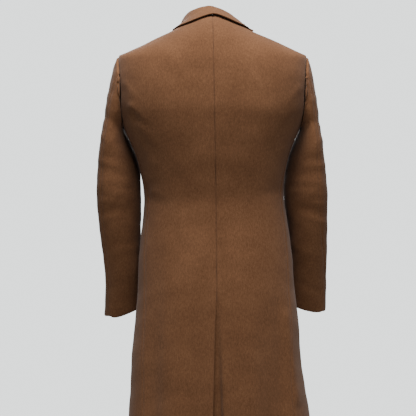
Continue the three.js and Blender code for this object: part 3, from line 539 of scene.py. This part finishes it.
# %% Sleeve creases and pieces
SLEEVE_CREASES = [
    crease("back", (262, -168), (222, -196), 7, (2.0, 0)),
    crease("back", (266, -220), (216, -252), 8, (-2.6, 0)),
    crease("back", (272, -268), (226, -296), 8, (2.2, 0)),
    crease("back", (270, -330), (200, -352), 8, (2.2, 0)),
    crease("back", (272, -384), (192, -398), 8, (0, -2.6)),
    crease("back", (268, -428), (204, -436), 7, (2.4, 0), -8),
    crease("back", (272, -470), (188, -456), 8, (2.2, 0), -15),
    crease("back", (262, -560), (188, -540), 9, (0, 2.0), -40),
    crease("back", (262, -640), (190, -622), 9, (-2.0, 0), -70),
]
SLEEVE_PIECES = [
    {"node": "upper_sleeve_left", "name": "wool_upper_sleeve_left",
     "flat": (0.21, 0.68), "area": 0.104},
    {"node": "under_sleeve_left", "name": "wool_under_sleeve_left",
     "flat": (0.19, 0.6), "area": 0.084},
    {"node": "upper_sleeve_right", "name": "wool_upper_sleeve_right",
     "flat": (0.21, 0.67), "area": 0.1},
    {"node": "under_sleeve_right", "name": "wool_under_sleeve_right",
     "flat": (0.19, 0.59), "area": 0.081},
]
SLEEVE_LEVELS = 2
SLEEVE_WAVE = 0.07
MIRRORED_START_DROP = 9
MIRRORED_END_RISE = 7


def mirrored(creases):
    """The same creases on the other sleeve, a little turned so that the two are not alike."""
    turned = []
    for row in creases:
        (start_x, start_z), (end_x, end_z) = row["start"], row["end"]
        turned.append({**row, "start": (-start_x, start_z - MIRRORED_START_DROP),
                       "end": (-end_x, end_z + MIRRORED_END_RISE)})
    return turned


def shape_sleeve(piece):
    points = read_points(piece)
    creases = SLEEVE_CREASES + mirrored(SLEEVE_CREASES)
    push = crease_heights(points, creases) + uneven(points, SLEEVE_WAVE, WAVE_HEIGHT)
    write_points(piece, points + read_normals(piece) * push[:, None])


for sleeve_row in SLEEVE_PIECES:
    make_cloth(sleeve_row, SLEEVE_LEVELS, shape_sleeve)

# %% [markdown]
# ## Collar and lapels
# The collar stands up from the neck seam, folds over and comes down to just above the back. The
# lapels are the tops of the fronts, turned back along the roll. Both are pressed, so they keep
# smooth, full curves and take no creases.

# %% Make the collar and lapels
TURNED_PIECES = [
    {"node": "collar", "name": "wool_collar", "flat": (0.085, 0.55), "area": 0.035,
     "folded": True, "rings": ()},
    {"node": "lapel_left", "name": "wool_lapel_left", "flat": (0.1, 0.24), "area": 0.0115,
     "rings": ()},
    {"node": "lapel_right", "name": "wool_lapel_right", "flat": (0.1, 0.22), "area": 0.0104,
     "rings": ()},
]
TURNED_LEVELS = 2
TURNED_WAVE = 0.06
TURNED_WAVE_HEIGHT = 0.0002


def shape_turned(piece):
    points = read_points(piece)
    push = uneven(points, TURNED_WAVE, TURNED_WAVE_HEIGHT)
    write_points(piece, points + read_normals(piece) * push[:, None])


for turned_row in TURNED_PIECES:
    make_cloth(turned_row, TURNED_LEVELS, shape_turned)

# %% [markdown]
# ## Horn buttons
# Coat buttons are turned from horn, which is dark brown with paler streaks and a soft polish.
# The streaks are a noise that is squeezed along one direction, as the grain of the horn is.

# %% Horn finish
HORN_STOPS = [(0.35, (0.012, 0.006, 0.003)), (0.7, (0.09, 0.045, 0.02))]
HORN_GRAIN = (1.0, 1.0, 4.0)
STREAKS_PER_METRE = 60.0
HORN_ROUGH = 0.25
STREAK_ROUGH = 0.2


def make_horn():
    horn = Finish("polished_horn")
    streaks = horn.noise(horn.place(scale=HORN_GRAIN), STREAKS_PER_METRE, 4.0, 0.6)
    horn.drive("Base Color", horn.node("ShaderNodeValToRGB", {"stops": HORN_STOPS}, [streaks]))
    horn.drive("Roughness", HORN_ROUGH + streaks * STREAK_ROUGH)
    return horn.material


horn_finish = make_horn()
print("finish:", horn_finish.name)

# %% [markdown]
# ## Turning the buttons
# A coat button is turned on a lathe from a slice of horn: the back is flat, the edge is rounded,
# the face is dished inside a raised rim, and four holes are drilled. Here a disc of 56 sides is
# inset and pushed in for the dish, four pins are cut away for the holes, and a bevel rounds the
# edges. Two crossed loops of thread hold the button through its holes. The solid of each coarse
# button gives the place and the slope of the fine one.

# %% Turn one button
BUTTON_SIDES = 56
BUTTON_RADIUS = 0.0115
BUTTON_THICKNESS = 0.004
BUTTON_RIM = 0.0018
BUTTON_DISH = 0.0009
HOLE_RADIUS = 0.0011
HOLE_CIRCLE = 0.0026
HOLE_PLACE = HOLE_CIRCLE / math.sqrt(2)
HOLE_SIDES = 20
BUTTON_ROUND = 0.0005
BUTTON_CORNER = math.radians(50)
BUTTON_NUMBERS = (1, 2, 3)


def add_disc(name, radius, depth, place, sides):
    """A round disc with its axis along Z."""
    bpy.ops.object.select_all(action="DESELECT")
    bpy.ops.mesh.primitive_cylinder_add(vertices=sides, radius=radius, depth=depth,
                                        location=place)
    disc = bpy.context.object
    disc.name = name
    bpy.ops.object.transform_apply(location=True, rotation=True, scale=True)
    return disc


def dish_face(disc):
    top = max(disc.data.polygons, key=lambda side: side.center.z).index
    in_edit_mode(disc, (bpy.ops.mesh.select_mode, {"type": "FACE"}),
                 (bpy.ops.mesh.select_all, {"action": "DESELECT"}))
    disc.data.polygons[top].select = True
    in_edit_mode(disc, (bpy.ops.mesh.inset, {"thickness": BUTTON_RIM}),
                 (bpy.ops.mesh.inset, {"thickness": BUTTON_DISH}),
                 (bpy.ops.transform.translate, {"value": (0, 0, -BUTTON_DISH)}))


def turn_button(name):
    disc = add_disc(name, BUTTON_RADIUS, BUTTON_THICKNESS, (0, 0, 0), BUTTON_SIDES)
    dish_face(disc)
    for across in (-HOLE_PLACE, HOLE_PLACE):
        for up in (-HOLE_PLACE, HOLE_PLACE):
            pin = add_disc("hole_pin", HOLE_RADIUS, 3 * BUTTON_THICKNESS, (across, up, 0),
                           HOLE_SIDES)
            apply_modifier(disc, "BOOLEAN", operation="DIFFERENCE", object=pin, solver="EXACT")
            bpy.data.objects.remove(pin)
    apply_modifier(disc, "BEVEL", width=BUTTON_ROUND, segments=3, limit_method="ANGLE",
                   angle_limit=BUTTON_CORNER)
    return disc


# %% Sew it on with thread
THREAD_RADIUS = 0.00035
THREAD_RISE = 0.0006
THREAD_FLATNESS = 0.62
THREAD_GRAIN = (1.0, 1.0, 3.0)
THREAD_TURNS = {"a": math.pi / 4, "b": -math.pi / 4}
THREAD_STOPS = [(0.35, (0.02, 0.011, 0.006)), (0.7, (0.05, 0.027, 0.014))]
TWISTS_PER_METRE = 900.0


def add_thread(turn):
    bpy.ops.object.select_all(action="DESELECT")
    bpy.ops.mesh.primitive_torus_add(major_segments=40, minor_segments=10,
                                     major_radius=HOLE_CIRCLE, minor_radius=THREAD_RADIUS,
                                     rotation=(math.pi / 2, 0, 0))
    bpy.ops.transform.resize(value=(1, 1, THREAD_FLATNESS))
    bpy.ops.transform.rotate(value=turn, orient_axis="Z", center_override=(0, 0, 0))
    loop = bpy.context.object
    loop.location.z = THREAD_RISE - BUTTON_DISH
    bpy.ops.object.transform_apply(location=True, rotation=True, scale=True)
    return loop


def make_thread_finish():
    thread = Finish("dark_thread", Roughness=0.8)
    twist = thread.noise(thread.place(scale=THREAD_GRAIN), TWISTS_PER_METRE)
    thread.drive("Base Color", thread.node("ShaderNodeValToRGB", {"stops": THREAD_STOPS}, [twist]))
    return thread.material


thread_finish = make_thread_finish()
print("finish:", thread_finish.name)

# %% Put the buttons where their solids lie
BUTTON_SMOOTH = math.radians(35)


def solid_place(solid):
    """Middle of a flat round solid, and the direction of its axis away from the coat."""
    points = read_points(solid)
    low, high = points.min(axis=0), points.max(axis=0)
    middle = (low + high) / 2
    spread = np.linalg.eigh(np.cov((points - middle).T))
    axis = Vector(spread[1][:, 0])
    if axis.y > 0:
        axis.negate()
    return Vector(middle), axis


def set_in_place(piece, middle, axis):
    turn = axis.to_track_quat("Z", "Y").to_matrix().to_4x4()
    piece.matrix_world = turn
    piece.location = middle
    only(piece)
    bpy.ops.object.transform_apply(location=True, rotation=True, scale=True)
    bpy.ops.object.shade_smooth_by_angle(angle=BUTTON_SMOOTH)


for number in BUTTON_NUMBERS:
    node = f"front_button_{number}"
    middle, axis = solid_place(bpy.data.objects[node])
    button = turn_button(f"horn_button_{number}")
    button.data.materials.clear()
    button.data.materials.append(horn_finish)
    set_in_place(button, middle, axis)
    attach(button, "root")
    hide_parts(node)
    for letter, turn in THREAD_TURNS.items():
        loop = add_thread(turn)
        loop.name = f"button_thread_{number}_{letter}"
        loop.data.materials.append(thread_finish)
        set_in_place(loop, middle + axis * (BUTTON_THICKNESS / 2), axis)
        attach(loop, "root")
    print(button.name, "faces:", len(button.data.polygons))

# %% [markdown]
# ## Floor and light
# The studio is pale and even. A wide lamp above brightens the shoulders, and softer ones all
# round keep every side readable. The coat hangs well above the floor, which is small enough to
# stay below the picture, so no horizon cuts across it. The pale backdrop stands far behind the
# coat and glows a little, as a lit studio wall does, so that the dim air leaves dark hollows.

# %% Floor
FLOOR_HEIGHT = -1.42
FLOOR_RADIUS = 1.15
FLOOR_SIDES = 96
FLOOR_COLOUR = (0.7, 0.71, 0.71, 1)


def make_floor():
    bpy.ops.object.select_all(action="DESELECT")
    bpy.ops.mesh.primitive_circle_add(vertices=FLOOR_SIDES, radius=FLOOR_RADIUS,
                                      fill_type="NGON", location=(0, 0, FLOOR_HEIGHT))
    floor = bpy.context.object
    floor.name = "studio_floor"
    bpy.ops.object.transform_apply(location=True, rotation=True, scale=True)
    pale = Finish("pale_floor", Base_Color=FLOOR_COLOUR, Roughness=0.9)
    floor.data.materials.append(pale.material)


make_floor()
print("floor at:", FLOOR_HEIGHT)

# %% Backdrop
BACKDROP_DISTANCE = 6.0
BACKDROP_WIDTH = 3.7
BACKDROP_LIGHT = (1.8, 1.87, 1.87, 1)


def make_backdrop():
    bpy.ops.object.select_all(action="DESELECT")
    bpy.ops.mesh.primitive_plane_add(size=BACKDROP_WIDTH, rotation=(math.pi / 2, 0, math.pi),
                                     location=(CAMERA_PLACE[0], -BACKDROP_DISTANCE,
                                               CAMERA_PLACE[2]))
    backdrop = bpy.context.object
    backdrop.name = "studio_backdrop"
    bpy.ops.object.transform_apply(location=True, rotation=True, scale=True)
    pale = Finish("pale_backdrop", Base_Color=(0.0, 0.0, 0.0, 1), Roughness=1.0,
                  Emission_Color=BACKDROP_LIGHT, Emission_Strength=1.0)
    backdrop.data.materials.append(pale.material)


make_backdrop()
print("backdrop stands off by:", BACKDROP_DISTANCE)

# %% Lamps
LAMPS = [
    {"name": "top_lamp", "place": (0.0, 0.8, 1.9), "size": 1.0, "watts": 125},
    {"name": "back_lamp", "place": (-0.4, 3.0, 2.0), "size": 1.0, "watts": 44},
    {"name": "front_lamp", "place": (0.7, -3.2, 1.4), "size": 2.0, "watts": 85},
]
LAMP_AIM = Vector((0.0, 0.0, -0.4))


def add_lamp(row):
    data = bpy.data.lights.new(row["name"], "AREA")
    data.shape = "DISK"
    data.size = row["size"]
    data.energy = row["watts"]
    lamp = bpy.data.objects.new(row["name"], data)
    lamp.location = row["place"]
    lamp.rotation_euler = (LAMP_AIM - lamp.location).to_track_quat("-Z", "Y").to_euler()
    bpy.context.scene.collection.objects.link(lamp)


for lamp_row in LAMPS:
    add_lamp(lamp_row)

WORLD_COLOUR = (0.26, 0.27, 0.275, 1)
world = bpy.data.worlds.new("studio_air")
world.use_nodes = True
world.node_tree.nodes["Background"].inputs["Color"].default_value = WORLD_COLOUR
world.node_tree.nodes["Background"].inputs["Strength"].default_value = 1.0
bpy.context.scene.world = world
print("lamps:", len(LAMPS))
